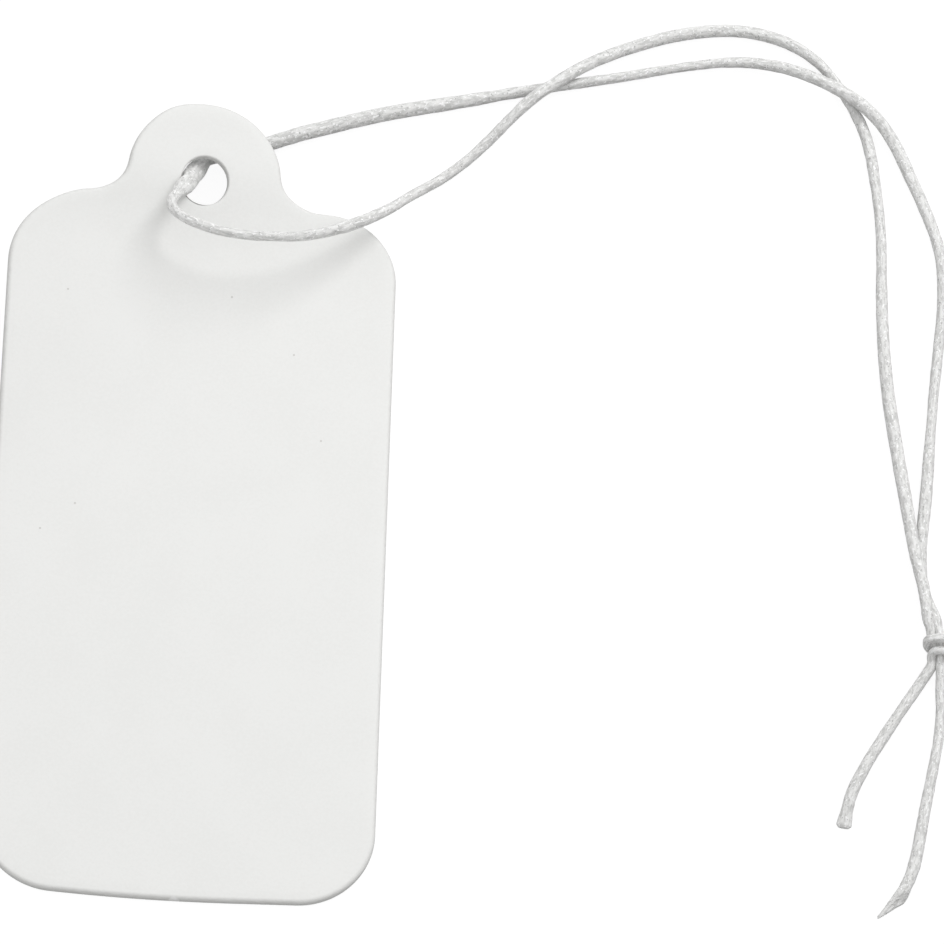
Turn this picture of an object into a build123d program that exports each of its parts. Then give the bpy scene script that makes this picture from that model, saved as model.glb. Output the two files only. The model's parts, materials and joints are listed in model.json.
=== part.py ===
from build123d import *
import math
import os

# A small die-cut card tag on a knotted loop of covered cord, lying face up on a table.
# Millimetres, +Z up, +Y towards the lobe with the hole.
# The origin is under the middle of the card, on the table.

# Card: a rounded rectangle with a round lobe on its top edge, punched for the cord
card_width = 16.0
card_length = 34.3
card_thickness = 0.45
corner_radius = 3.05
lobe_radius = 3.2
throat_radius = 1.7
throat_room_share = 0.95
shoulder_drop = 0.95
hole_radius = 1.0
rim_radius = 0.18
punch_rim_radius = 0.07

# Card: the left half of the bottom edge is cut on a shallow curve
bow_from_middle = 2.4
bow_radius = 85.0

# Card: the bend that lifts the lobe and the upper left corner off the table
bend_radius = 16.6
bend_angle = 17.5
bend_turn = 47.5
bend_from_hole = 6.2

# Cord: one length, threaded through the hole and tied in an overhand knot
cord_diameter = 0.48
cord_arc_share = 0.45
table_clearance = 0.02

# Knot: two turns of the cord drawn tight round the two strands
knot_length = 1.3
knot_waist_diameter = 1.05
knot_turn_radius = 0.49
knot_turn_count = 2
knot_turn_pitch = 0.56
knot_turn_tilt = 11.0
strand_spacing = 0.52
knot_lead = 0.65

# Places that follow from the sizes above
hole_y = card_length / 2 - lobe_radius
shoulder_y = hole_y - shoulder_drop
foot_y = -card_length / 2
sheet_reach = card_width + card_length
cord_radius = cord_diameter / 2
cord_z = cord_radius + table_clearance
knot_z = knot_turn_radius + cord_radius + table_clearance

# Route of the cord, measured from the hole's axis at the table
knot_place = (30.38, -19.20)
strand_start = (1.80, 1.85, cord_z)
front_route = [
    strand_start,
    (1.17, 1.57, cord_z),
    (0.72, 1.32, 0.32),
    (0.36, 1.00, 0.48),
    (0.04, 0.58, 0.78),
    (-0.18, 0.22, 1.20),
    (-0.38, -0.12, 1.66),
    (-0.62, -0.45, 2.04),
    (-1.08, -0.86, 2.30),
    (-1.56, -1.36, 2.50),
    (-1.24, -1.90, 2.92),
    (-0.72, -2.34, 3.05),
    (-0.04, -2.70, 3.06),
    (1.25, -3.03, 2.96),
    (3.00, -3.09, 2.82),
    (4.12, -2.98, 2.62),
    (5.18, -2.62, 2.40),
    (6.38, -1.98, 1.88),
    (7.56, -1.12, 1.32),
    (8.40, -0.30, 0.92),
    (9.78, 0.80, 0.36),
    (11.20, 2.08, 0.36),
    (12.52, 3.52, 0.74),
    (13.34, 4.34, 0.88),
    (14.24, 5.06, 0.86),
    (15.60, 6.14, 0.56),
    (17.30, 7.04, 0.29),
    (19.40, 7.75, cord_z),
    (21.71, 8.01, cord_z),
    (23.74, 7.55, cord_z),
    (25.24, 6.50, cord_z),
    (26.28, 5.00, cord_z),
    (27.08, 3.44, cord_z),
    (27.45, 1.60, cord_z),
    (27.76, -1.10, cord_z),
    (27.77, -4.40, cord_z),
    (28.05, -7.80, cord_z),
    (28.62, -11.00, 0.32),
    (29.04, -13.40, 0.52),
    (29.32, -15.40, 0.68),
    (29.60, -16.50, 0.80),
]
back_route = [
    strand_start,
    (3.06, 2.41, cord_z),
    (5.00, 3.02, cord_z),
    (7.40, 3.74, cord_z),
    (10.40, 4.34, cord_z),
    (13.40, 5.02, cord_z),
    (16.60, 5.60, cord_z),
    (19.40, 6.22, cord_z),
    (21.60, 6.55, 0.28),
    (23.30, 6.33, 0.44),
    (24.40, 5.88, 0.72),
    (25.45, 5.38, 0.86),
    (26.65, 4.68, 0.86),
    (27.56, 3.96, 0.60),
    (28.28, 2.96, 0.32),
    (28.86, 1.65, cord_z),
    (29.60, -0.10, cord_z),
    (30.20, -1.90, cord_z),
    (30.38, -4.00, cord_z),
    (30.11, -6.90, cord_z),
    (29.92, -9.80, cord_z),
    (29.80, -12.60, cord_z),
    (29.66, -14.70, cord_z),
    (29.90, -16.20, 0.30),
    (30.40, -17.15, 0.56),
]
short_tail_route = [
    (29.62, -21.10, 0.50),
    (28.98, -21.95, 0.28),
    (28.18, -23.30, cord_z),
    (27.33, -24.88, cord_z),
    (26.86, -26.05, cord_z),
    (26.69, -27.10, cord_z),
]
long_tail_route = [
    (30.60, -21.10, 0.50),
    (30.54, -22.15, 0.30),
    (30.44, -23.40, cord_z),
    (30.16, -24.80, cord_z),
    (29.88, -26.25, cord_z),
    (29.67, -27.70, cord_z),
    (29.40, -29.00, cord_z),
    (28.90, -30.04, cord_z),
    (28.20, -30.92, cord_z),
]


def throat_fillet():
    """Radius of a throat, no larger than the straight shoulder beside it leaves room for."""
    shoulder_reach = card_width / 2 - corner_radius
    room = (shoulder_reach ** 2 - lobe_radius ** 2 + shoulder_drop ** 2) / (2 * (lobe_radius + shoulder_drop))
    return min(throat_radius, throat_room_share * room)


def card_body():
    """Body of the card: a rounded rectangle whose bottom edge bows up to the left."""
    half = card_width / 2
    bow_turn = math.degrees(math.asin((half + bow_from_middle) / bow_radius))
    bow = JernArc((bow_from_middle, foot_y), (-1, 0), bow_radius, -bow_turn)
    sharp = make_face([
        Line((half, foot_y), (bow_from_middle, foot_y)),
        bow,
        Line(bow @ 1, (-half, shoulder_y)),
        Line((-half, shoulder_y), (half, shoulder_y)),
        Line((half, shoulder_y), (half, foot_y)),
    ])
    corners = [corner for corner in sharp.vertices() if math.isclose(abs(corner.X), half, abs_tol=1e-6)]
    return fillet(corners, corner_radius)


def card_outline():
    """Outline of the card before it is bent: body, lobe and the round throats between them."""
    lobe = Pos(0, hole_y) * Circle(lobe_radius)
    joined = card_body() + lobe
    throat_x = math.sqrt(lobe_radius ** 2 - shoulder_drop ** 2)
    throats = [joined.vertices().sort_by_distance((side * throat_x, shoulder_y, 0))[0] for side in (-1, 1)]
    return fillet(throats, throat_fillet()) - Pos(0, hole_y) * Circle(hole_radius)


def bent_sheet():
    """Sheet of board, flat on the table and then bent up along one slanting line."""
    turn = math.radians(bend_turn)
    rising = Vector(-math.sin(turn), math.cos(turn), 0)
    along = Vector(math.cos(turn), math.sin(turn), 0)
    start = Vector(0, hole_y, 0) - rising * bend_from_hole
    under_bend = JernArc((0, 0), (1, 0), bend_radius, bend_angle)
    under_end = under_bend @ 1 + (under_bend % 1) * sheet_reach
    upper_bend = JernArc((0, card_thickness), (1, 0), bend_radius - card_thickness, bend_angle)
    upper_end = upper_bend @ 1 + (upper_bend % 1) * sheet_reach
    profile = make_face([
        Line((-sheet_reach, 0), (0, 0)),
        under_bend,
        Line(under_bend @ 1, under_end),
        Line(under_end, upper_end),
        Line(upper_end, upper_bend @ 1),
        upper_bend,
        Line((0, card_thickness), (-sheet_reach, card_thickness)),
        Line((-sheet_reach, card_thickness), (-sheet_reach, 0)),
    ])
    return extrude(Plane(start, x_dir=rising, z_dir=along) * profile, amount=sheet_reach, both=True)


def card_rim(card, punched):
    """Edges of the card's two faces, round its hole or along its outline."""
    walls = [face for face in card.faces() if abs(face.normal_at().Z) < 0.5]
    reach = (hole_radius + lobe_radius) / 2
    rims = ShapeList()
    for edge in ShapeList(walls).edges():
        middle = edge @ 0.5
        near_hole = math.hypot(middle.X, middle.Y - hole_y) < reach
        if abs((edge % 0.5).Z) < 0.5 and near_hole == punched:
            rims.append(edge)
    return rims


def tag_card():
    """The card: the outline cut through the bent sheet, with its cut edges rounded over."""
    card = extrude(card_outline(), amount=sheet_reach, both=True) & bent_sheet()
    card = fillet(card_rim(card, False), rim_radius)
    return fillet(card_rim(card, True), punch_rim_radius)


def knot_port(side, end):
    """Where a strand meets the knot: side is -1 or 1 across it, end is 1 at the loop and -1 at the tails."""
    x = knot_place[0] + side * strand_spacing / 2
    y = knot_place[1] + end * knot_length / 2
    return (x, y, knot_z)


def knot_approach(side, end):
    """Point on the strand, one straight lead away from the knot."""
    x, y, z = knot_port(side, end)
    return (x, y + end * knot_lead, z)


def cord_tube(name, route):
    """Tube of the cord's section along straight runs joined by arcs as large as the runs allow."""
    points = [Vector(x, hole_y + y, z) for x, y, z in route]
    runs = [after - before for before, after in zip(points, points[1:])]
    radii = []
    for before, after in zip(runs, runs[1:]):
        half_turn = math.radians(before.get_angle(after)) / 2
        radii.append(cord_arc_share * min(before.length, after.length) / math.tan(half_turn))
    path = FilletPolyline(*points, radius=radii)
    tube = sweep(Plane(path @ 0, z_dir=path % 0) * Circle(cord_radius), path)
    expected = math.pi * cord_radius ** 2 * path.length
    print(f"{name}: length {path.length:.1f}, volume over section times length {tube.volume / expected:.4f}")
    print(f"{name}: radii " + " ".join(f"{radius:.2f}" for radius in radii))
    return tube


def cord_knot():
    """The overhand knot: a waist that holds the strands, with the turns drawn round it."""
    middle = Vector(knot_place[0], hole_y + knot_place[1], knot_z)
    lay = Plane(middle, x_dir=(1, 0, 0), z_dir=(0, 1, 0))
    knot = lay * Cylinder(knot_waist_diameter / 2, knot_length)
    for index in range(knot_turn_count):
        step = index - (knot_turn_count - 1) / 2
        tilt = knot_turn_tilt if index % 2 else -knot_turn_tilt
        turn = Rot(0, tilt, 0) * Torus(knot_turn_radius, cord_radius)
        knot += lay * Pos(0, 0, step * knot_turn_pitch) * turn
    return knot


parts = {
    "tag_card": tag_card(),
    "front_strand": cord_tube("front_strand", front_route + [knot_approach(-1, 1), knot_port(-1, 1)]),
    "back_strand": cord_tube("back_strand", back_route + [knot_approach(1, 1), knot_port(1, 1)]),
    "cord_knot": cord_knot(),
    "short_tail": cord_tube("short_tail", [knot_port(-1, -1), knot_approach(-1, -1)] + short_tail_route),
    "long_tail": cord_tube("long_tail", [knot_port(1, -1), knot_approach(1, -1)] + long_tail_route),
}

os.makedirs("parts", exist_ok=True)
for node, shape in parts.items():
    shape.label = node
    export_step(shape, f"parts/{node}.step")
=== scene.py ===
"""Looks of a small die-cut gift tag on a knotted loop of covered cord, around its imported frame.

Every length is in metres. Routes and sizes are written in millimetres and multiplied by MM.
"""

from __future__ import annotations

import json
import logging
import math
from dataclasses import dataclass, field
from enum import Enum
from typing import Any, ClassVar, Union

import bpy
import numpy as np
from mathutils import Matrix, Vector, geometry


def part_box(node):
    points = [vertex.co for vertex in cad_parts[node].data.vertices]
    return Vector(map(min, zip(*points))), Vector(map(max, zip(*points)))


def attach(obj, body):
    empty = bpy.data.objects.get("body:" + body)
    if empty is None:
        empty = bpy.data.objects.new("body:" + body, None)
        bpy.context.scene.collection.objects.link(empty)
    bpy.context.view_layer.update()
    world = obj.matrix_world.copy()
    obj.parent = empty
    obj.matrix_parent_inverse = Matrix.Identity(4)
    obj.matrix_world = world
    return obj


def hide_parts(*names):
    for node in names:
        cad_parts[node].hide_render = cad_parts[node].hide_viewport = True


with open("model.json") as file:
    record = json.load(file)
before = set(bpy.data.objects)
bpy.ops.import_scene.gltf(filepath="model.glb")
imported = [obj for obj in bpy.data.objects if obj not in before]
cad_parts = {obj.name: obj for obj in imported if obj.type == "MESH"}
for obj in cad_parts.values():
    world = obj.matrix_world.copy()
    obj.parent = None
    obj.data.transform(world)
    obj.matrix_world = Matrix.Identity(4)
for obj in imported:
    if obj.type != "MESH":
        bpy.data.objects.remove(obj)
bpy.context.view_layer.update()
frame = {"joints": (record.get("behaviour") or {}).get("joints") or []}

MM = 0.001
SAME_PLACE = 0.001 * MM
LOG = logging.getLogger("gift_tag")
Feed = Union[float, int, bool, str, tuple, bpy.types.ID, bpy.types.NodeSocket]
Point = tuple[float, float, float]
Colour = tuple[float, float, float, float]
Span = tuple[float, float]


class Body(Enum):
    """The two moving bodies of the tag."""

    TAG = "tag"
    CORD = "cord"


class Slot(Enum):
    """The record's material slots."""

    CARD = "card"
    CORD = "cord"


class Ending(Enum):
    """How the end of a tail was cut."""

    FLARED = "flared"
    SLANTED = "slanted"


class Graph:
    """A node tree with short ways to add and join its nodes.

    A Mix node's sockets for colours are known by their index, because their names repeat.
    """

    MIX_INPUTS: ClassVar[tuple[int, int, int]] = (0, 6, 7)
    MIX_RESULT: ClassVar[int] = 2

    def __init__(self, tree: bpy.types.NodeTree) -> None:
        """Keep the tree that the nodes go into."""
        self.tree = tree

    def feed(self, socket: bpy.types.NodeSocket, value: Feed) -> None:
        """Join a socket to another, or set its own value.

        Args:
            socket: The input to feed.
            value: The output that feeds it, or a plain value.
        """
        if isinstance(value, bpy.types.NodeSocket):
            self.tree.links.new(value, socket)
        else:
            socket.default_value = value

    def add(self, kind: str, inputs: dict[Any, Feed] | None = None, **options: Any) -> bpy.types.Node:
        """Add a node, set its options and feed its inputs.

        Args:
            kind: The node's type name.
            inputs: What feeds each input, by the input's name or index.
            options: The node's own settings.

        Returns:
            The new node.
        """
        node = self.tree.nodes.new(kind)
        for name, option in options.items():
            setattr(node, name, option)
        for key, value in (inputs or {}).items():
            self.feed(node.inputs[key], value)
        return node

    def math(self, operation: str, *values: Feed) -> bpy.types.NodeSocket:
        """Return the result of a sum on numbers."""
        return self.add("ShaderNodeMath", dict(enumerate(values)), operation=operation).outputs[0]

    def clamp(self, value: Feed, low: Feed, high: Feed) -> bpy.types.NodeSocket:
        """Return a number kept between two others."""
        return self.math("MINIMUM", self.math("MAXIMUM", value, low), high)

    def vector(self, operation: str, *values: Feed) -> bpy.types.NodeSocket:
        """Return the result of a sum on vectors."""
        return self.add("ShaderNodeVectorMath", dict(enumerate(values)), operation=operation).outputs[0]

    def scaled(self, vector: Feed, factor: Feed) -> bpy.types.NodeSocket:
        """Return a vector times a number."""
        return self.add("ShaderNodeVectorMath", {0: vector, "Scale": factor}, operation="SCALE").outputs[0]

    def distance(self, first: Feed, second: Feed) -> bpy.types.NodeSocket:
        """Return how far apart two points are."""
        node = self.add("ShaderNodeVectorMath", {0: first, 1: second}, operation="DISTANCE")
        return node.outputs["Value"]

    def dot(self, first: Feed, second: Feed) -> bpy.types.NodeSocket:
        """Return how far a vector reaches along a direction."""
        node = self.add("ShaderNodeVectorMath", {0: first, 1: second}, operation="DOT_PRODUCT")
        return node.outputs["Value"]

    def split(self, vector: Feed) -> tuple[bpy.types.NodeSocket, ...]:
        """Return a vector's three parts."""
        return tuple(self.add("ShaderNodeSeparateXYZ", {0: vector}).outputs)

    def joined(self, x: Feed, y: Feed, z: Feed) -> bpy.types.NodeSocket:
        """Return a vector made of three numbers."""
        return self.add("ShaderNodeCombineXYZ", {0: x, 1: y, 2: z}).outputs[0]

    def noise(self, vector: Feed, grain: float, detail: float = 2.0) -> bpy.types.NodeSocket:
        """Return noise from about 0 to 1.

        Args:
            vector: Where to look the noise up.
            grain: The size of its largest patches.
            detail: How many finer layers are added.

        Returns:
            The noise's number.
        """
        inputs = {"Vector": vector, "Scale": 1.0 / grain, "Detail": detail}
        return self.add("ShaderNodeTexNoise", inputs).outputs["Fac"]

    def ramp(self, value: Feed, span: Span, start: float = 0.0, end: float = 1.0) -> bpy.types.NodeSocket:
        """Return a smooth step between two numbers.

        Args:
            value: The number that is looked at.
            span: Where the step begins and ends.
            start: The result up to the beginning.
            end: The result from the end on.

        Returns:
            The step's number.
        """
        low, high = span
        inputs = {"Value": value, "From Min": low, "From Max": high, "To Min": start, "To Max": end}
        return self.add("ShaderNodeMapRange", inputs, interpolation_type="SMOOTHSTEP").outputs["Result"]

    def spot(self, place: Feed, middle: Feed, reach: float, core: float) -> bpy.types.NodeSocket:
        """Return 1 near a point, falling smoothly to 0 further away.

        Args:
            place: Where to look.
            middle: The point.
            reach: How far from the point it has fallen to 0.
            core: The share of that distance over which it stays 1.

        Returns:
            The spot's number.
        """
        return self.ramp(self.distance(place, middle), (core * reach, reach), 1.0, 0.0)

    def blend(self, share: Feed, first: Feed, second: Feed) -> bpy.types.NodeSocket:
        """Mix two colours.

        Args:
            share: The share of the second colour.
            first: The colour at 0.
            second: The colour at 1.

        Returns:
            The mixed colour.
        """
        node = self.add("ShaderNodeMix", data_type="RGBA")
        for index, value in zip(self.MIX_INPUTS, (share, first, second)):
            self.feed(node.inputs[index], value)
        return node.outputs[self.MIX_RESULT]


class Recipe(Graph):
    """A Geometry Nodes tree with named inputs, run once on a mesh and turned into a plain one."""

    KINDS: ClassVar[dict[type, str]] = {
        float: "NodeSocketFloat",
        int: "NodeSocketInt",
        tuple: "NodeSocketVector",
        bpy.types.Material: "NodeSocketMaterial",
    }

    def __init__(self, name: str) -> None:
        """Start a tree that takes in and gives out geometry.

        Args:
            name: The tree's name.
        """
        super().__init__(bpy.data.node_groups.new(name, "GeometryNodeTree"))
        for way in ("INPUT", "OUTPUT"):
            self.tree.interface.new_socket("Geometry", in_out=way, socket_type="NodeSocketGeometry")
        self.source = self.add("NodeGroupInput")
        self.result = self.add("NodeGroupOutput")
        self.values: dict[str, Any] = {}

    def take(self, name: str, value: Any) -> bpy.types.NodeSocket:
        """Add a named input.

        Args:
            name: The input's name.
            value: What the run sets it to.

        Returns:
            The socket that gives the value inside the tree.
        """
        kind = next(word for kept, word in self.KINDS.items() if isinstance(value, kept))
        socket = self.tree.interface.new_socket(name, in_out="INPUT", socket_type=kind)
        self.values[socket.identifier] = value
        return self.source.outputs[name]

    def finish(self, shape: bpy.types.NodeSocket, material: bpy.types.Material) -> None:
        """End the tree with smooth shading, real geometry and the finish.

        Args:
            shape: The finished geometry.
            material: The material that it gets.
        """
        smooth = self.add("GeometryNodeSetShadeSmooth", {"Geometry": shape}).outputs[0]
        real = self.add("GeometryNodeRealizeInstances", {"Geometry": smooth}).outputs[0]
        inputs = {"Geometry": real, "Material": self.take("Finish", material)}
        self.feed(self.result.inputs[0], self.add("GeometryNodeSetMaterial", inputs).outputs[0])

    def run(self, mesh: bpy.types.Mesh, name: str) -> bpy.types.Object:
        """Run the tree on a mesh.

        Args:
            mesh: What goes into the tree.
            name: The name of the piece that comes out.

        Returns:
            A new object at the origin that holds the result as a plain mesh.
        """
        carrier = bpy.data.objects.new(f"{name}_source", mesh)
        bpy.context.scene.collection.objects.link(carrier)
        modifier = carrier.modifiers.new(self.tree.name, "NODES")
        modifier.node_group = self.tree
        for identifier, value in self.values.items():
            modifier[identifier] = value
        depsgraph = bpy.context.evaluated_depsgraph_get()
        made = carrier.evaluated_get(depsgraph)
        result = bpy.data.meshes.new_from_object(made, preserve_all_data_layers=True, depsgraph=depsgraph)
        result.name = name
        bpy.data.objects.remove(carrier)
        piece = bpy.data.objects.new(name, result)
        bpy.context.scene.collection.objects.link(piece)
        return piece


class Paint(Graph):
    """A material's node tree, with its shader and its pattern coordinates."""

    def __init__(self, name: str) -> None:
        """Start a material with one Principled shader.

        Args:
            name: The material's name.
        """
        self.material = bpy.data.materials.new(name)
        self.material.use_nodes = True
        super().__init__(self.material.node_tree)
        self.shader = self.tree.nodes["Principled BSDF"]

    def place(self) -> bpy.types.NodeSocket:
        """Return the point on the object."""
        return self.add("ShaderNodeTexCoord").outputs["Object"]

    def attribute(self, name: str) -> bpy.types.Node:
        """Return a node that reads one of the mesh's own attributes."""
        return self.add("ShaderNodeAttribute", attribute_name=name)

    def bump(self, height: Feed, distance: float, strength: float) -> None:
        """Feed the shader a bump.

        Args:
            height: The height's number, from 0 to 1.
            distance: How high 1 stands.
            strength: The share of the bump that is used.
        """
        inputs = {"Height": height, "Distance": distance, "Strength": strength}
        self.feed(self.shader.inputs["Normal"], self.add("ShaderNodeBump", inputs).outputs[0])


@dataclass(frozen=True)
class BoardFinish:
    """Smooth white coated board: fine fibres, a few specks, a bare cut edge, and painted shade along the
    lower-left rim of the hole.
    """

    white: Colour = (0.850, 0.852, 0.838, 1.0)
    shade: Colour = (0.828, 0.830, 0.815, 1.0)
    core: Colour = (0.700, 0.700, 0.684, 1.0)
    # Painted shade: a dark colour for the lower-left rim of the hole, where shade falls.
    painted_rim_shade: Colour = (0.24, 0.24, 0.23, 1.0)
    nick: Colour = (0.97, 0.97, 0.96, 1.0)
    speck: Colour = (0.62, 0.61, 0.59, 1.0)
    roughness: Span = (0.52, 0.68)
    reflection: float = 0.3
    cloud_grain: float = 3.0 * MM
    cloud_share: float = 0.4
    cloud_span: Span = (0.36, 0.62)
    fibre_grain: float = 0.12 * MM
    fibre_span: Span = (0.3, 0.7)
    fibre_depth: float = 0.004 * MM
    fibre_strength: float = 0.4
    ply_grain: float = 0.24 * MM
    ply_draw: Point = (1.0, 1.0, 7.0)
    ply_span: Span = (0.35, 0.7)
    ply_least: float = 0.35
    cut_span: Span = (0.1, 0.9)
    # Where the painted shade on the hole's rim lies, how far it reaches, and the share of that reach where
    # it is full.
    painted_shade_place: Point = (-0.62 * MM, 13.24 * MM, 1.45 * MM)
    painted_shade_reach: float = 1.1 * MM
    painted_shade_core: float = 0.5
    nick_place: Point = (0.07 * MM, -17.10 * MM, 0.20 * MM)
    nick_reach: float = 0.28 * MM
    nick_core: float = 0.6
    speck_reach: float = 0.06 * MM
    speck_core: float = 0.4
    specks: tuple[Point, ...] = (
        (-4.64, -0.16, 0.48),
        (-6.00, -1.31, 0.50),
        (-5.29, 8.76, 1.69),
        (1.35, 9.12, 0.54),
        (3.97, 6.66, 0.46),
        (5.21, 2.89, 0.46),
    )

    def material(self) -> bpy.types.Material:
        """Make the board's material.

        Returns:
            The material, which reads the card's cut_edge attribute.
        """
        paint = Paint("coated_board")
        place = paint.place()
        cloud = paint.noise(place, self.cloud_grain)
        fibre = paint.noise(place, self.fibre_grain, detail=4.0)
        clouded = paint.math("MULTIPLY", cloud, self.cloud_share)
        mixed = paint.math("ADD", clouded, paint.math("MULTIPLY", fibre, 1.0 - self.cloud_share))
        colour = paint.blend(paint.ramp(mixed, self.cloud_span), self.shade, self.white)
        edge = paint.attribute("cut_edge").outputs["Fac"]
        ply = paint.noise(paint.vector("MULTIPLY", place, self.ply_draw), self.ply_grain, detail=3.0)
        shown = paint.ramp(ply, self.ply_span, self.ply_least, 1.0)
        bare = paint.math("MULTIPLY", paint.clamp(edge, 0.0, 1.0), shown)
        colour = paint.blend(bare, colour, self.core)
        # Painted shade: the rim of the hole is darkened near its lower-left side, standing in for the
        # shade that falls there.
        near_painted_shade = paint.spot(place, self.painted_shade_place, self.painted_shade_reach, self.painted_shade_core)
        painted_rim_shade_mask = paint.math("MULTIPLY", paint.ramp(edge, self.cut_span), near_painted_shade)
        colour = paint.blend(painted_rim_shade_mask, colour, self.painted_rim_shade)
        torn = paint.spot(place, self.nick_place, self.nick_reach, self.nick_core)
        colour = paint.blend(torn, colour, self.nick)
        for speck in self.specks:
            near_speck = paint.spot(place, tuple(Vector(speck) * MM), self.speck_reach, self.speck_core)
            colour = paint.blend(near_speck, colour, self.speck)
        paint.feed(paint.shader.inputs["Base Color"], colour)
        smooth, rough = self.roughness
        paint.feed(paint.shader.inputs["Roughness"], paint.ramp(fibre, self.fibre_span, smooth, rough))
        paint.shader.inputs["Specular IOR Level"].default_value = self.reflection
        paint.bump(fibre, self.fibre_depth, self.fibre_strength)
        return paint.material


@dataclass(frozen=True)
class CordFinish:
    """White covered cord with a silvery lustre: long grey streaks, white glints and a few dark specks."""

    light: Colour = (0.80, 0.80, 0.79, 1.0)
    grey: Colour = (0.60, 0.60, 0.59, 1.0)
    glint: Colour = (0.97, 0.97, 0.97, 1.0)
    dark: Colour = (0.34, 0.34, 0.34, 1.0)
    roughness: float = 0.50
    glint_roughness: float = 0.25
    reflection: float = 0.35
    streak_grain: float = 0.10 * MM
    streak_draw: Point = (0.30, 1.0, 1.0)
    streak_span: Span = (0.34, 0.62)
    glint_grain: float = 0.08 * MM
    glint_draw: Point = (0.60, 1.0, 1.0)
    glint_span: Span = (0.57, 0.66)
    glint_relief: float = 0.5
    smooth_span: Span = (0.60, 0.70)
    speck_grain: float = 0.09 * MM
    speck_span: Span = (0.63, 0.72)
    speck_share: float = 0.8
    relief: float = 0.008 * MM
    relief_strength: float = 0.6
    soft_share: float = 0.5
    soft_reach: float = 0.12 * MM

    def material(self) -> bpy.types.Material:
        """Make the cord's material.

        Returns:
            The material, which reads the cord's cord_space attribute.
        """
        paint = Paint("lustrous_cord")
        place = paint.attribute("cord_space").outputs["Vector"]
        streaked = paint.vector("MULTIPLY", place, self.streak_draw)
        streak = paint.noise(streaked, self.streak_grain, detail=3.0)
        fleck = paint.noise(paint.vector("MULTIPLY", place, self.glint_draw), self.glint_grain)
        speck = paint.noise(place, self.speck_grain)
        body = paint.blend(paint.ramp(streak, self.streak_span), self.grey, self.light)
        lit = paint.blend(paint.ramp(fleck, self.glint_span), body, self.glint)
        dotted = paint.ramp(speck, self.speck_span, 0.0, self.speck_share)
        paint.feed(paint.shader.inputs["Base Color"], paint.blend(dotted, lit, self.dark))
        rough = paint.ramp(fleck, self.smooth_span, self.roughness, self.glint_roughness)
        paint.feed(paint.shader.inputs["Roughness"], rough)
        paint.shader.inputs["Specular IOR Level"].default_value = self.reflection
        paint.shader.inputs["Subsurface Weight"].default_value = self.soft_share
        paint.shader.inputs["Subsurface Radius"].default_value = (1.0, 1.0, 1.0)
        paint.shader.inputs["Subsurface Scale"].default_value = self.soft_reach
        raised = paint.math("ADD", streak, paint.math("MULTIPLY", fleck, self.glint_relief))
        paint.bump(raised, self.relief, self.relief_strength)
        return paint.material


@dataclass(frozen=True)
class FloorFinish:
    """A white table that stays white to the camera and keeps the tag's soft shadow."""

    bounce: float = 0.30
    seen: float = 0.15
    lift: float = 0.92

    def material(self) -> bpy.types.Material:
        """Make the floor's material.

        Returns:
            The material, plain to the light and white to the camera.
        """
        paint = Paint("white_table")
        paint.tree.nodes.remove(paint.shader)
        path = paint.add("ShaderNodeLightPath").outputs
        looked_at = paint.clamp(seen_ray(paint, path), 0.0, 1.0)
        plain = paint.add("ShaderNodeBsdfDiffuse", {"Color": (self.bounce,) * 3 + (1.0,)}).outputs[0]
        shaded = paint.add("ShaderNodeBsdfDiffuse", {"Color": (self.seen,) * 3 + (1.0,)}).outputs[0]
        glow = paint.add("ShaderNodeEmission", {"Strength": self.lift}).outputs[0]
        white = paint.add("ShaderNodeAddShader", {0: shaded, 1: glow}).outputs[0]
        mixed = paint.add("ShaderNodeMixShader", {0: looked_at, 1: plain, 2: white}).outputs[0]
        paint.feed(paint.tree.nodes["Material Output"].inputs["Surface"], mixed)
        return paint.material


def seen_ray(graph: Graph, path: bpy.types.NodeOutputs) -> bpy.types.NodeSocket:
    """Return 1 or more for a ray from the camera, a reflection or something clear.

    Args:
        graph: The tree that the sum goes into.
        path: The outputs of its Light Path node.

    Returns:
        The sum of the three kinds of ray.
    """
    mirrored = graph.math("ADD", path["Is Glossy Ray"], path["Is Transmission Ray"])
    return graph.math("ADD", path["Is Camera Ray"], mirrored)


def arc(centre: tuple[float, float], radius: float, start: float, end: float, step: float,
        hollow: bool = False) -> np.ndarray:
    """Sample a round stretch of an outline.

    Args:
        centre: The middle of the arc.
        radius: Its radius.
        start: The first angle in degrees.
        end: The last angle in degrees.
        step: About how far apart its points are.
        hollow: Whether the material lies outside the arc.

    Returns:
        One row for each point: its place and the direction that points out of the material.
    """
    count = max(3, math.ceil(abs(math.radians(end - start)) * radius / step) + 1)
    angles = np.radians(np.linspace(start, end, count))
    out = np.stack([np.cos(angles), np.sin(angles)], axis=1)
    return np.hstack([np.array(centre) + radius * out, -out if hollow else out])


def filled(loop: np.ndarray, step: float) -> np.ndarray:
    """Add points to the straight stretches of a closed loop, and give each place once.

    Args:
        loop: Rows of place and outward direction.
        step: About how far apart the points are.

    Returns:
        The loop with its long gaps divided.
    """
    rows = []
    for here, after in zip(loop, np.roll(loop, -1, axis=0)):
        gap = float(np.linalg.norm(after[:2] - here[:2]))
        if gap < SAME_PLACE:
            continue
        count = max(1, round(gap / step))
        rows += [here + (after - here) * index / count for index in range(count)]
    return np.array(rows)


def inside(points: np.ndarray, loop: np.ndarray) -> np.ndarray:
    """Tell which points lie inside a closed loop.

    Args:
        points: Places in the plane.
        loop: The loop's places in order.

    Returns:
        True for each point inside.
    """
    x, y = points[:, :1], points[:, 1:2]
    ax, ay = loop[:, 0], loop[:, 1]
    bx, by = np.roll(ax, -1), np.roll(ay, -1)
    spans = (ay > y) != (by > y)
    rise = np.where(by == ay, 1.0, by - ay)
    return (spans & (x < ax + (y - ay) / rise * (bx - ax))).sum(axis=1) % 2 == 1


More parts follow.
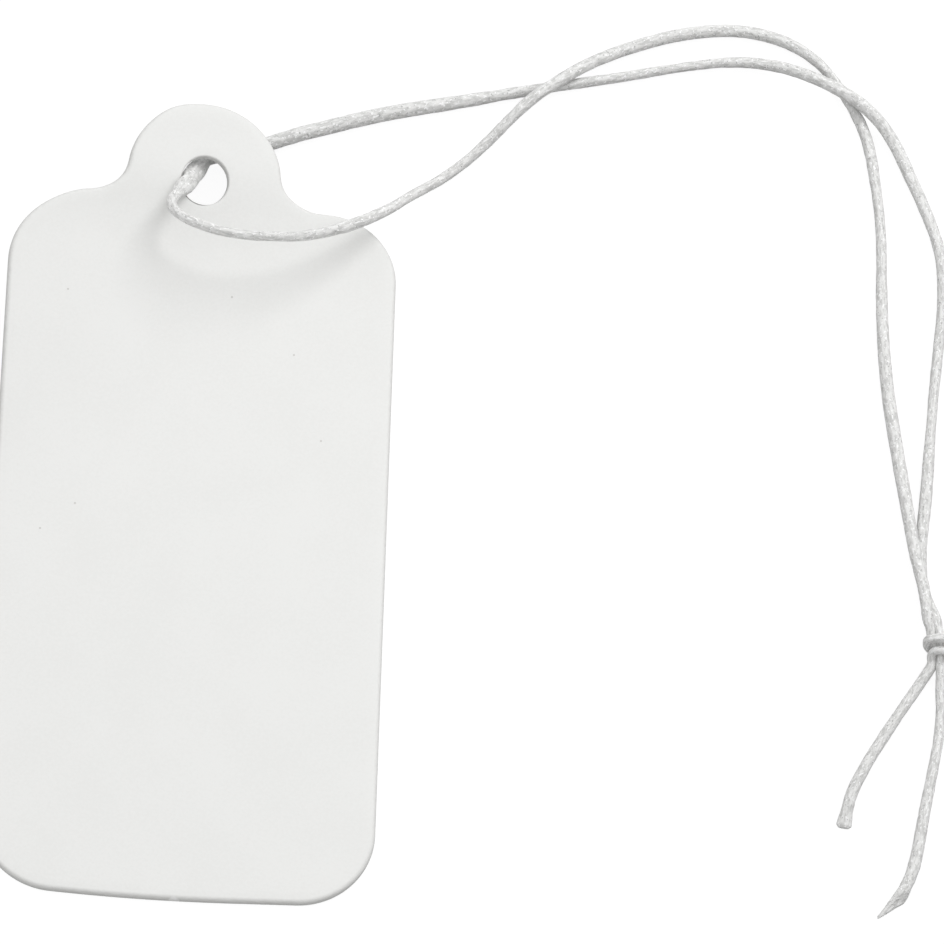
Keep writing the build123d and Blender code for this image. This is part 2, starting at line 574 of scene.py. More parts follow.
@dataclass(frozen=True)
class Bend:
    """A rise of the card along one slanting line: an arc up, then an arc that levels it again."""

    name: str
    turn: float
    from_hole: float
    radius: float
    angle: float
    level_from: float
    level_radius: float
    level_angle: float
    stride: float = 0.05 * MM
    reach: float = 14.0 * MM

    def slope(self, recipe: Recipe, along: Feed) -> bpy.types.NodeSocket:
        """Add the sheet's slope at a distance past the start of the bend.

        Args:
            recipe: The tree that the sum goes into.
            along: The distance, measured on the sheet.

        Returns:
            The slope's angle.
        """
        radius = recipe.take(f"{self.name} Radius", self.radius)
        angle = recipe.take(f"{self.name} Angle", self.angle)
        level_from = recipe.take(f"{self.name} Level From", self.level_from)
        level_radius = recipe.take(f"{self.name} Level Radius", self.level_radius)
        level_angle = recipe.take(f"{self.name} Level Angle", self.level_angle)
        up = recipe.clamp(recipe.math("DIVIDE", along, radius), 0.0, angle)
        past = recipe.math("SUBTRACT", along, level_from)
        down = recipe.clamp(recipe.math("DIVIDE", past, level_radius), 0.0, level_angle)
        return recipe.math("SUBTRACT", up, down)

    def profile(self, recipe: Recipe) -> bpy.types.NodeSocket:
        """Add the line that the sheet follows over the bend, in the plane of x and z.

        Args:
            recipe: The tree that the line goes into.

        Returns:
            The line as a curve that starts at the origin.
        """
        count = math.ceil(self.reach / self.stride)
        line = recipe.add("GeometryNodeMeshLine", {"Count": count}, mode="OFFSET").outputs[0]
        index = recipe.add("GeometryNodeInputIndex").outputs[0]
        middle = recipe.math("MULTIPLY", recipe.math("ADD", index, 0.5), self.stride)
        slope = self.slope(recipe, middle)
        heading = recipe.joined(recipe.math("COSINE", slope), 0.0, recipe.math("SINE", slope))
        step = recipe.scaled(heading, self.stride)
        summed = recipe.add("GeometryNodeAccumulateField", data_type="FLOAT_VECTOR")
        recipe.feed(summed.inputs["Value"], step)
        laid = {"Geometry": line, "Position": summed.outputs["Trailing"]}
        placed = recipe.add("GeometryNodeSetPosition", laid).outputs[0]
        return recipe.add("GeometryNodeMeshToCurve", {"Mesh": placed}).outputs[0]

    def applied(self, recipe: Recipe, shape: Feed, hole: Feed) -> bpy.types.NodeSocket:
        """Add the step that rolls a flat sheet over the bend and keeps its lengths.

        Args:
            recipe: The tree that the step goes into.
            shape: The sheet.
            hole: The middle of the card's hole.

        Returns:
            The bent sheet.
        """
        turn = recipe.take(f"{self.name} Turn", self.turn)
        ahead = recipe.take(f"{self.name} From Hole", self.from_hole)
        place = recipe.add("GeometryNodeInputPosition").outputs[0]
        height = recipe.split(place)[2]
        leftwards = recipe.math("SINE", recipe.math("MULTIPLY", turn, -1.0))
        rising = recipe.joined(leftwards, recipe.math("COSINE", turn), 0.0)
        offset = recipe.vector("SUBTRACT", place, hole)
        reach = recipe.math("ADD", recipe.dot(offset, rising), ahead)
        looked_up = {"Curves": self.profile(recipe), "Length": recipe.clamp(reach, 0.0, self.reach)}
        sampled = recipe.add("GeometryNodeSampleCurve", looked_up, mode="LENGTH")
        run, _, lift = recipe.split(sampled.outputs["Position"])
        level, _, steep = recipe.split(sampled.outputs["Tangent"])
        run = recipe.math("ADD", run, recipe.math("MINIMUM", reach, 0.0))
        along = recipe.math("SUBTRACT", run, recipe.math("MULTIPLY", height, steep))
        up = recipe.math("ADD", lift, recipe.math("MULTIPLY", height, level))
        sideways = recipe.scaled(rising, recipe.math("SUBTRACT", along, reach))
        upwards = recipe.joined(0.0, 0.0, recipe.math("SUBTRACT", up, height))
        moved = {"Geometry": shape, "Offset": recipe.vector("ADD", sideways, upwards)}
        return recipe.add("GeometryNodeSetPosition", moved).outputs[0]


CORNER_BEND = Bend(
    name="Corner",
    turn=math.radians(53.0),
    from_hole=5.72 * MM,
    radius=17.8 * MM,
    angle=math.radians(16.0),
    level_from=14.0 * MM,
    level_radius=10.0 * MM,
    level_angle=0.0,
)
LOBE_BEND = Bend(
    name="Lobe",
    turn=0.0,
    from_hole=3.09 * MM,
    radius=16.5 * MM,
    angle=math.radians(8.8),
    level_from=2.58 * MM,
    level_radius=9.3 * MM,
    level_angle=math.radians(9.0),
)


@dataclass(frozen=True)
class Punch:
    """The hole in the bent card, whose wall the cord is pressed against.

    Past either end of the wall the cord's room widens by flare for each length, and from the distance
    near on it widens by release, so that only the stretch inside the hole is pressed.
    """

    middle: Point
    axis: Point
    radius: float
    depth_above: float
    depth_below: float = 0.60 * MM
    clearance: float = 0.06 * MM
    near: float = 1.4 * MM
    flare: float = 2.0
    release: float = 1000.0

    def pressed(self, recipe: Recipe, place: Feed, centre: Feed) -> bpy.types.NodeSocket:
        """Add the step that keeps the cord inside the hole's wall.

        Args:
            recipe: The tree that the step goes into.
            place: The points of the cord's skin.
            centre: The cord's middle at each point.

        Returns:
            The points, moved off the wall.
        """
        middle = recipe.take("Hole Middle", self.middle)
        axis = recipe.take("Hole Axis", self.axis)
        room = recipe.take("Hole Room", self.radius - self.clearance)
        top = recipe.take("Hole Top", self.depth_above)
        foot = recipe.take("Hole Foot", -self.depth_below)
        offset = recipe.vector("SUBTRACT", place, middle)
        height = recipe.dot(offset, axis)
        lengthways = recipe.scaled(axis, height)
        across = recipe.vector("SUBTRACT", offset, lengthways)
        reach = recipe.distance(across, (0.0, 0.0, 0.0))
        above = recipe.math("MAXIMUM", recipe.math("SUBTRACT", height, top), 0.0)
        below = recipe.math("MAXIMUM", recipe.math("SUBTRACT", foot, height), 0.0)
        wider = recipe.math("MULTIPLY", recipe.math("ADD", above, below), self.flare)
        away = recipe.math("SUBTRACT", recipe.distance(centre, middle), self.near)
        free = recipe.math("MULTIPLY", recipe.math("MAXIMUM", away, 0.0), self.release)
        limit = recipe.math("ADD", room, recipe.math("ADD", wider, free))
        share = recipe.math("DIVIDE", recipe.math("MINIMUM", reach, limit), reach)
        kept = recipe.vector("ADD", lengthways, recipe.scaled(across, share))
        return recipe.vector("ADD", middle, kept)


@dataclass(frozen=True)
class FullCut:
    """A stretch of the top outline that was cut a little fuller than the rest."""

    middle: float
    reach: float
    rise: float
    above: float

    def applied(self, loop: np.ndarray) -> None:
        """Raise the stretch.

        Args:
            loop: The outline's rows, which are changed in place.
        """
        near = np.exp(-((loop[:, 0] - self.middle) / self.reach) ** 2)
        loop[:, 1] += np.where(loop[:, 1] > self.above, near * self.rise, 0.0)


@dataclass
class Card:
    """The die-cut card: a rounded rectangle with a punched lobe, bent up towards its hole.

    The marks are what the cut_edge attribute says on the cut outline and on the wall of the hole.
    """

    OUTLINE_MARK: ClassVar[float] = 1.0
    PUNCH_MARK: ClassVar[float] = 2.0

    hole: Vector
    thickness: float = 0.45 * MM
    corner_radius: float = 3.05 * MM
    lobe_radius: float = 3.2 * MM
    throat_radius: float = 1.62 * MM
    shoulder_drop: float = 0.95 * MM
    hole_radius: float = 0.975 * MM
    rim_radius: float = 0.18 * MM
    punch_rim_radius: float = 0.07 * MM
    lobe_shift: tuple[float, float] = (-0.14 * MM, 0.09 * MM)
    rim_steps: int = 5
    edge_step: float = 0.20 * MM
    grid_step: float = 0.34 * MM
    bow_from: float = 2.4 * MM
    bow_radius: float = 85.0 * MM
    bow_fade: float = 5.0 * MM
    grid_margin_share: float = 0.6
    fill_slack: float = 1e-6
    wall_mark_share: float = 0.95
    wall_depth_share: float = 0.68
    full_cuts: tuple[FullCut, ...] = (
        FullCut(middle=-4.40 * MM, reach=1.50 * MM, rise=0.30 * MM, above=5.0 * MM),
        FullCut(middle=3.75 * MM, reach=0.80 * MM, rise=0.15 * MM, above=5.0 * MM),
        FullCut(middle=-1.75 * MM, reach=0.90 * MM, rise=0.11 * MM, above=15.5 * MM),
    )
    bends: tuple[Bend, ...] = (LOBE_BEND, CORNER_BEND)
    finish: BoardFinish = field(default_factory=BoardFinish)

    def lobe_centre(self) -> tuple[float, float]:
        """Return the middle of the lobe and its hole, which the cut set a little to one side."""
        return self.hole.x + self.lobe_shift[0], self.hole.y + self.lobe_shift[1]

    def outline(self) -> np.ndarray:
        """Work out the card's cut outline.

        Returns:
            Its points in order, anticlockwise, as places and outward directions.
        """
        low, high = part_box("tag_card")
        corner_x = high.x - self.corner_radius
        shoulder_y = self.hole.y - self.shoulder_drop
        low_y = low.y + self.corner_radius
        high_y = shoulder_y - self.corner_radius
        throat_y = shoulder_y + self.throat_radius
        reach = self.lobe_radius + self.throat_radius
        lobe_x, lobe_y = self.lobe_centre()
        throat_x = math.sqrt(reach ** 2 - (throat_y - lobe_y) ** 2)
        meet = math.degrees(math.asin((throat_y - lobe_y) / reach))
        step = self.edge_step
        stretches = [
            arc((corner_x, low_y), self.corner_radius, -90, 0, step),
            arc((corner_x, high_y), self.corner_radius, 0, 90, step),
            arc((lobe_x + throat_x, throat_y), self.throat_radius, 270, 180 + meet, step, hollow=True),
            arc((lobe_x, lobe_y), self.lobe_radius, meet, 180 - meet, step),
            arc((lobe_x - throat_x, throat_y), self.throat_radius, 360 - meet, 270, step, hollow=True),
            arc((-corner_x, high_y), self.corner_radius, 90, 180, step),
            arc((-corner_x, low_y), self.corner_radius, 180, 270, step),
        ]
        loop = filled(np.vstack(stretches), step)
        past = np.maximum(self.bow_from - loop[:, 0], 0.0)
        fade = np.clip(-loop[:, 1] / self.bow_fade, 0.0, 1.0)
        loop[:, 1] += fade * past ** 2 / (2 * self.bow_radius)
        for cut in self.full_cuts:
            cut.applied(loop)
        return loop

    def punched(self) -> np.ndarray:
        """Return the hole's edge in order, clockwise, as places and directions out of the material."""
        step = self.edge_step / 2
        return arc(self.lobe_centre(), self.hole_radius, 360, 0, step, hollow=True)[:-1]

    def rim(self, radius: float) -> list[tuple[float, float]]:
        """Work out the rings of a rounded edge, from front to back.

        Args:
            radius: The radius that the edge is rounded to.

        Returns:
            How far in and how high each ring lies.
        """
        turns = [math.pi / 2 * index / self.rim_steps for index in range(self.rim_steps + 1)]
        inset = [radius * (1 - math.sin(turn)) for turn in turns]
        drop = [radius * (1 - math.cos(turn)) for turn in turns]
        front = [(across, self.thickness - down) for across, down in zip(inset, drop)]
        return front + [(across, down) for across, down in zip(reversed(inset), reversed(drop))]

    def face_triangles(self, loops: list[np.ndarray]) -> tuple[np.ndarray, list[list[int]]]:
        """Fill the card's face between its two edges with even triangles.

        Args:
            loops: The outline and the hole, both as they lie at the flat face.

        Returns:
            The points inside the face, and triangles over the loops' points followed by these.
        """
        outer, hole = (loop[:, :2] for loop in loops)
        low, high = outer.min(axis=0), outer.max(axis=0)
        rows = np.arange(low[1], high[1], self.grid_step * math.sqrt(3) / 2)
        columns = np.arange(low[0], high[0], self.grid_step)
        grid = np.array([
            (x + (index % 2) * self.grid_step / 2, y)
            for index, y in enumerate(rows)
            for x in columns
        ])
        margin = self.grid_margin_share * self.grid_step
        well_in = inside(grid, outer - loops[0][:, 2:] * margin)
        well_out = ~inside(grid, hole - loops[1][:, 2:] * margin)
        grid = grid[well_in & well_out]
        points = np.vstack([outer, hole, grid])
        edges = []
        first = 0
        for loop in (outer, hole):
            edges += [(first + index, first + (index + 1) % len(loop)) for index in range(len(loop))]
            first += len(loop)
        flat = [Vector(point) for point in points / MM]
        _, _, faces, origin, _, _ = geometry.delaunay_2d_cdt(flat, edges, [], 0, self.fill_slack)
        triangles = np.array([[origin[corner][0] for corner in face] for face in faces])
        centres = points[triangles].mean(axis=1)
        kept = triangles[inside(centres, outer) & ~inside(centres, hole)]
        a, b, c = (points[kept[:, index]] for index in range(3))
        area = (b[:, 0] - a[:, 0]) * (c[:, 1] - a[:, 1]) - (b[:, 1] - a[:, 1]) * (c[:, 0] - a[:, 0])
        kept[area < 0] = kept[area < 0][:, ::-1]
        return grid, kept.tolist()

    @staticmethod
    def wall_faces(counts: list[int], rings: int) -> list[list[int]]:
        """Join the rings of the two cut edges.

        Args:
            counts: How many points each edge has in a ring.
            rings: How many rings there are.

        Returns:
            The faces, as the numbers of their points.
        """
        total = sum(counts)
        faces = []
        for ring in range(rings - 1):
            first = ring * total
            for count in counts:
                for index in range(count):
                    here = first + index
                    after = first + (index + 1) % count
                    faces.append([here, here + total, after + total, after])
                first += count
        return faces

    def flat_mesh(self) -> bpy.types.Mesh:
        """Make the card as it is cut, before it is bent.

        Returns:
            A closed mesh, whose cut_edge attribute says how far onto a cut edge each point lies.
        """
        loops = [self.outline(), self.punched()]
        radii = (self.rim_radius, self.punch_rim_radius)
        marks = (self.OUTLINE_MARK, self.PUNCH_MARK)
        rings = list(zip(*(self.rim(radius) for radius in radii)))
        points: list[np.ndarray] = []
        edge: list[np.ndarray] = []
        for ring in rings:
            for loop, radius, mark, (across, height) in zip(loops, radii, marks, ring):
                places = loop[:, :2] - loop[:, 2:] * across
                points.append(np.column_stack([places, np.full(len(loop), height)]))
                edge.append(np.full(len(loop), (1 - across / radius) * mark))
        counts = [len(loop) for loop in loops]
        faces = self.wall_faces(counts, len(rings))
        at_face = [
            np.column_stack([loop[:, :2] - loop[:, 2:] * radius, loop[:, 2:]])
            for loop, radius in zip(loops, radii)
        ]
        grid, triangles = self.face_triangles(at_face)
        total = sum(counts)
        back_ring = (len(rings) - 1) * total
        for height, first_ring, order in ((self.thickness, 0, 1), (0.0, back_ring, -1)):
            shift = sum(len(block) for block in points) - total
            points.append(np.column_stack([grid, np.full(len(grid), height)]))
            edge.append(np.zeros(len(grid)))
            for triangle in triangles:
                corners = triangle[::order]
                faces.append([corner + (first_ring if corner < total else shift) for corner in corners])
        mesh = bpy.data.meshes.new("card_flat")
        mesh.from_pydata(np.vstack(points).tolist(), [], faces)
        kept = mesh.attributes.new("cut_edge", "FLOAT", "POINT")
        kept.data.foreach_set("value", np.concatenate(edge).astype(np.float32))
        return mesh

    def bending(self) -> Recipe:
        """Make the tree that bends the flat card.

        Returns:
            The tree.
        """
        recipe = Recipe("card_bending")
        hole = recipe.take("Hole", (self.hole.x, self.hole.y, 0.0))
        shape = recipe.source.outputs[0]
        for bend in self.bends:
            shape = bend.applied(recipe, shape, hole)
        recipe.finish(shape, self.finish.material())
        return recipe

    def build(self) -> bpy.types.Object:
        """Return the bent card."""
        return self.bending().run(self.flat_mesh(), "card")

    def punch(self, piece: bpy.types.Object) -> Punch:
        """Find where the hole lies once the card is bent.

        Args:
            piece: The bent card.

        Returns:
            The hole's place, direction and room.
        """
        marks = [value.value for value in piece.data.attributes["cut_edge"].data]
        least = self.wall_mark_share * self.PUNCH_MARK
        wall = np.array([
            tuple(point.co)
            for point, mark in zip(piece.data.vertices, marks)
            if mark > least
        ])
        middle = wall.mean(axis=0)
        axis = np.linalg.svd(wall - middle)[2][2]
        upright = axis if axis[2] > 0 else -axis
        return Punch(
            middle=tuple(middle.tolist()),
            axis=tuple(upright.tolist()),
            radius=self.hole_radius,
            depth_above=self.wall_depth_share * self.thickness,
        )

    def dress(self, piece: bpy.types.Object) -> None:
        """Put the card in the place of its CAD solid.

        Args:
            piece: The bent card.
        """
        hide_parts("tag_card")
        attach(piece, Body.TAG.value)


@dataclass(frozen=True)
class Sweep:
    """The cord's round tube inside its tree, with what each of its points knows."""

    shape: bpy.types.NodeSocket
    radius: bpy.types.NodeSocket
    to_end: bpy.types.NodeSocket
    factor: bpy.types.NodeSocket
    centre: bpy.types.NodeSocket
    tangent: bpy.types.NodeSocket
    turn: bpy.types.NodeSocket
    unrolled: bpy.types.NodeSocket


@dataclass
class Cord:
    """One length of the covered cord, from behind the lobe through the knot to its cut end."""

    name: str
    hole: Vector
    route: list[Point]
    widths: tuple[Span, ...]
    stands_for: tuple[str, ...]
    ending: Ending
    material: bpy.types.Material
    punch: Punch
    diameter: float = 0.48 * MM
    line_order: int = 3
    line_steps: int = 12
    ring_step: float = 0.03 * MM
    sides: int = 14
    widest: float = 2.0
    crinkle_grain: float = 0.19 * MM
    crinkle_draw: Point = (0.35, 1.0, 1.0)
    crinkle_depth: float = 0.055 * MM
    uneven_grain: float = 1.4 * MM
    uneven_share: float = 0.10
    spread_place: Point = (-0.40 * MM, 0.20 * MM, 1.44 * MM)
    spread_reach: float = 1.75 * MM
    spread_core: float = 0.4
    spread_share: float = 0.72
    knot_place: Point = (30.40 * MM, -19.25 * MM, 0.74 * MM)
    knot_reach: float = 1.1 * MM
    knot_core: float = 0.6
    knot_squeeze: float = 0.20
    flare_reach: float = 0.9 * MM
    flare_share: float = 0.22
    slant_reach: float = 1.1 * MM
    slant_fade: float = 2.2 * MM
    soft_end: float = 0.11 * MM
    soft_end_share: float = 0.72
    crushed_reach: float = 1.3 * MM
    crushed_share: float = 0.45
    rest_height: float = 0.02 * MM
    stiffness: str = "limp"
    lay: str = "loose"
    path: list[Point] = field(init=False, default_factory=list)
    length: float = field(init=False, default=0.0)

    def centre_line(self) -> bpy.types.Mesh:
        """Draw the smooth line that follows the route.

        Returns:
            A mesh of the line's points in order.
        """
        curve = bpy.data.curves.new(f"{self.name}_route", "CURVE")
        curve.dimensions = "3D"
        curve.resolution_u = self.line_steps
        spline = curve.splines.new("NURBS")
        spline.points.add(len(self.route) - 1)
        for point, (x, y, z) in zip(spline.points, self.route):
            point.co = (self.hole.x + x * MM, self.hole.y + y * MM, z * MM, 1.0)
        spline.order_u = self.line_order
        spline.use_endpoint_u = True
        carrier = bpy.data.objects.new(f"{self.name}_route", curve)
        mesh = bpy.data.meshes.new_from_object(carrier)
        bpy.data.objects.remove(carrier)
        return mesh

    def from_hole(self, place: Point) -> tuple[float, ...]:
        """Return a place that is measured from the hole as a place in the frame."""
        return tuple(Vector(place) + Vector((self.hole.x, self.hole.y, 0.0)))

    def width(self, recipe: Recipe, factor: Feed) -> bpy.types.NodeSocket:
        """Add the cord's width along its length.

        Args:
            recipe: The tree that the sum goes into.
            factor: The share of the length.

        Returns:
            The share of the cord's diameter.
        """
        node = recipe.add("ShaderNodeFloatCurve", {"Value": factor})
        points = node.mapping.curves[0].points
        for index in (0, -1):
            along, share = self.widths[index]
            points[index].location = (along, share / self.widest)
        for along, share in self.widths[1:-1]:
            points.new(along, share / self.widest)
        node.mapping.update()
        return recipe.math("MULTIPLY", node.outputs[0], self.widest)

    def swept(self, recipe: Recipe) -> Sweep:
        """Add the steps that sweep a round section along the line.

        Args:
            recipe: The tree that the steps go into.

        Returns:
            The tube and what its points know.
        """
        rings = recipe.take("Rings", math.ceil(self.length / self.ring_step))
        sides = recipe.take("Sides", self.sides)
        radius = recipe.take("Radius", self.diameter / 2)
        line = recipe.add("GeometryNodeMeshToCurve", {"Mesh": recipe.source.outputs[0]}).outputs[0]
        even = recipe.add("GeometryNodeResampleCurve", {"Curve": line, "Count": rings}).outputs[0]
        measure = recipe.add("GeometryNodeSplineParameter")
        held = recipe.add("GeometryNodeCaptureAttribute", {"Geometry": even})
        for word, kind, value in (
            ("along", "FLOAT", measure.outputs["Length"]),
            ("factor", "FLOAT", measure.outputs["Factor"]),
            ("centre", "VECTOR", recipe.add("GeometryNodeInputPosition").outputs[0]),
            ("tangent", "VECTOR", recipe.add("GeometryNodeInputTangent").outputs[0]),
        ):
            held.capture_items.new(kind, word)
            recipe.feed(held.inputs[word], value)
        circle = recipe.add("GeometryNodeCurvePrimitiveCircle", {"Resolution": sides, "Radius": 1.0})
        turned = recipe.add("GeometryNodeCaptureAttribute", {"Geometry": circle.outputs[0]})
        turned.capture_items.new("FLOAT", "turn")
        recipe.feed(turned.inputs["turn"], recipe.add("GeometryNodeSplineParameter").outputs["Factor"])
        section = {"Profile Curve": turned.outputs[0], "Scale": radius, "Fill Caps": True}
        tube = recipe.add("GeometryNodeCurveToMesh", {"Curve": held.outputs[0], **section})
        along = held.outputs["along"]
        turn = recipe.math("MULTIPLY", turned.outputs["turn"], math.tau)
        unrolled = recipe.joined(
            along,
            recipe.math("MULTIPLY", recipe.math("COSINE", turn), radius),
            recipe.math("MULTIPLY", recipe.math("SINE", turn), radius),
        )
        return Sweep(
            shape=tube.outputs[0],
            radius=radius,
            to_end=recipe.math("SUBTRACT", self.length, along),
            factor=held.outputs["factor"],
            centre=held.outputs["centre"],
            tangent=held.outputs["tangent"],
            turn=turn,
            unrolled=unrolled,
        )

    def share(self, recipe: Recipe, sweep: Sweep) -> bpy.types.NodeSocket:
        """Add the share of the plain radius that the cord has at each point.

        Args:
            recipe: The tree that the sum goes into.
            sweep: The tube.

        Returns:
            The share, with swellings, folds, the spread in the hole, the tight knot and the cut end.
        """
        crinkle = recipe.take("Crinkle Depth", self.crinkle_depth)
        uneven = recipe.take("Uneven Share", self.uneven_share)
        spread_place = recipe.take("Spread Place", self.from_hole(self.spread_place))
        spread = recipe.take("Spread Share", self.spread_share)
        knot = recipe.take("Knot Place", self.from_hole(self.knot_place))
        squeeze = recipe.take("Knot Squeeze", self.knot_squeeze)
        flare = recipe.take("Flare Share", self.flare_share if self.ending is Ending.FLARED else 0.0)
        drawn = recipe.vector("MULTIPLY", sweep.unrolled, self.crinkle_draw)
        folds = recipe.math("SUBTRACT", recipe.noise(drawn, self.crinkle_grain, detail=3.0), 0.5)
        lumps = recipe.noise(sweep.unrolled, self.uneven_grain, detail=1.0)
        swelling = recipe.math("SUBTRACT", lumps, 0.5)
        opened = recipe.ramp(sweep.to_end, (0.0, self.flare_reach), 1.0, 0.0)
        spread_out = recipe.spot(sweep.centre, spread_place, self.spread_reach, self.spread_core)
        drawn_in = recipe.spot(sweep.centre, knot, self.knot_reach, self.knot_core)
        share = self.width(recipe, sweep.factor)
        for part, amount in (
            (swelling, uneven),
            (opened, flare),
            (spread_out, spread),
            (folds, recipe.math("DIVIDE", crinkle, sweep.radius)),
        ):
            share = recipe.math("ADD", share, recipe.math("MULTIPLY", part, amount))
        share = recipe.math("SUBTRACT", share, recipe.math("MULTIPLY", drawn_in, squeeze))
        closed = recipe.ramp(sweep.to_end, (0.0, self.soft_end), self.soft_end_share, 1.0)
        return recipe.math("MULTIPLY", share, closed)

    def skin(self, recipe: Recipe, sweep: Sweep) -> bpy.types.NodeSocket:
        """Add the places of the points of the cord's skin.

        Args:
            recipe: The tree that the sum goes into.
            sweep: The tube.

        Returns:
            The places, inside the card's hole and above the table.
        """
        slant = recipe.take("Slant Reach", self.slant_reach if self.ending is Ending.SLANTED else 0.0)
        rest_height = recipe.take("Rest Height", self.rest_height)
        place = recipe.add("GeometryNodeInputPosition").outputs[0]
        spoke = recipe.scaled(recipe.vector("SUBTRACT", place, sweep.centre), self.share(recipe, sweep))
        side = recipe.math("SUBTRACT", recipe.math("COSINE", sweep.turn), 1.0)
        back = recipe.math("MULTIPLY", side, 0.5)
        near_end = recipe.ramp(sweep.to_end, (0.0, self.slant_fade), 1.0, 0.0)
        cut = recipe.math("MULTIPLY", near_end, slant)
        slid = recipe.scaled(sweep.tangent, recipe.math("MULTIPLY", back, cut))
        loose = recipe.vector("ADD", sweep.centre, recipe.vector("ADD", spoke, slid))
        x, y, z = recipe.split(self.punch.pressed(recipe, loose, sweep.centre))
        crushed = recipe.ramp(sweep.to_end, (0.0, self.crushed_reach), self.crushed_share, 1.0)
        height = recipe.math("MAXIMUM", recipe.math("MULTIPLY", z, crushed), rest_height)
        return recipe.joined(x, y, height)

    def sheath(self) -> Recipe:
        """Make the tree that lays the cord's uneven, crinkled cover along its line.

        Returns:
            The tree.
        """
        recipe = Recipe(f"{self.name}_sheath")
        sweep = self.swept(recipe)
        laid = {"Geometry": sweep.shape, "Position": self.skin(recipe, sweep)}
        shape = recipe.add("GeometryNodeSetPosition", laid).outputs[0]
        stored = {"Geometry": shape, "Name": "cord_space"}
        kept = recipe.add("GeometryNodeStoreNamedAttribute", stored, data_type="FLOAT_VECTOR")
        recipe.feed(kept.inputs["Value"], sweep.unrolled)
        recipe.finish(kept.outputs[0], self.material)
        return recipe

    def build(self) -> bpy.types.Object:
        """Build the cord, and keep the line that it follows.

        Returns:
            The cord's mesh.
        """
        mesh = self.centre_line()
        self.path = [tuple(vertex.co) for vertex in mesh.vertices]
        steps = np.linalg.norm(np.diff(np.array(self.path), axis=0), axis=1)
        self.length = float(steps.sum())
        return self.sheath().run(mesh, self.name)

    def dress(self, piece: bpy.types.Object) -> None:
        """Args:
            piece: The cord's mesh.
        """
        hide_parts(*self.stands_for)
        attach(piece, Body.CORD.value)


# Routes are in millimetres, sideways and along the card from the hole's axis and up from the table.
# Widths are shares of the cord's diameter, each at a share of the cord's length.
FRONT_ROUTE: list[Point] = [
    (1.80, 1.85, 0.31),
    (1.17, 1.60, 0.30),
    (0.72, 1.55, 0.29),
    (0.36, 1.50, 0.29),
    (0.08, 1.35, 0.38),
    (-0.20, 0.93, 0.62),
    (-0.46, 0.31, 1.18),
    (-0.66, -0.29, 1.66),
    (-0.90, -0.82, 2.08),
    (-1.08, -1.20, 2.40),
    (-1.19, -1.54, 2.68),
    (-1.20, -1.83, 2.88),
    (-1.07, -2.11, 2.98),
    (-0.83, -2.34, 3.03),
    (-0.57, -2.50, 3.06),
    (-0.30, -2.62, 3.06),
    (0.27, -2.85, 3.06),
    (0.85, -3.01, 3.05),
    (1.42, -3.11, 3.05),
    (2.20, -3.15, 2.96),
    (3.00, -3.09, 2.82),
    (4.12, -2.98, 2.62),
    (5.18, -2.62, 2.40),
    (6.38, -1.98, 1.88),
    (7.56, -1.12, 1.32),
    (8.40, -0.30, 0.92),
    (9.78, 0.80, 0.36),
    (11.20, 2.08, 0.36),
    (12.52, 3.52, 0.74),
    (13.34, 4.34, 0.88),
    (14.24, 5.06, 0.86),
    (15.60, 6.14, 0.56),
    (17.30, 7.04, 0.29),
    (19.40, 7.75, 0.26),
    (21.71, 8.01, 0.26),
    (23.74, 7.55, 0.26),
    (25.24, 6.50, 0.26),
    (26.28, 5.00, 0.26),
    (27.08, 3.44, 0.26),
    (27.45, 1.60, 0.26),
    (27.80, -1.10, 0.26),
    (27.83, -4.40, 0.26),
    (28.09, -7.80, 0.26),
    (28.62, -11.00, 0.32),
    (29.04, -13.40, 0.50),
    (29.36, -15.30, 0.66),
    (29.66, -16.50, 0.76),
    (29.83, -17.40, 0.80),
    (29.91, -18.12, 0.80),
    (30.05, -18.66, 0.74),
    (30.08, -19.05, 0.60),
    (30.24, -19.32, 0.42),
    (30.60, -19.38, 0.32),
    (30.90, -19.28, 0.52),
    (30.98, -19.20, 0.84),
    (30.80, -19.20, 1.12),
    (30.40, -19.20, 1.22),
    (30.02, -19.20, 1.12),
    (29.90, -19.22, 0.84),
    (29.94, -19.34, 0.54),
    (30.16, -19.48, 0.32),
    (30.52, -19.58, 0.28),
    (30.84, -19.64, 0.46),
    (30.92, -19.66, 0.74),
    (30.70, -19.64, 0.94),
    (30.38, -19.62, 0.94),
    (30.14, -19.65, 0.80),
    (30.08, -19.80, 0.58),
    (30.14, -20.02, 0.44),
    (30.02, -20.30, 0.38),
    (29.76, -20.70, 0.31),
    (29.12, -21.72, 0.27),
    (28.16, -23.30, 0.26),
    (27.36, -24.78, 0.26),
    (26.88, -25.95, 0.26),
    (26.71, -27.08, 0.26),
]

FRONT_WIDTHS: tuple[Span, ...] = (
    (0.00, 1.25),
    (0.012, 1.10),
    (0.025, 0.97),
    (0.05, 1.00),
    (0.08, 0.88),
    (0.15, 0.86),
    (0.183, 1.05),
    (0.22, 0.86),
    (0.28, 0.92),
    (0.32, 1.04),
    (0.45, 1.06),
    (0.50, 0.86),
    (0.53, 1.00),
    (0.575, 0.88),
    (0.64, 1.04),
    (0.71, 1.15),
    (0.76, 1.08),
    (0.82, 0.98),
    (0.92, 0.94),
    (1.00, 1.08),
)

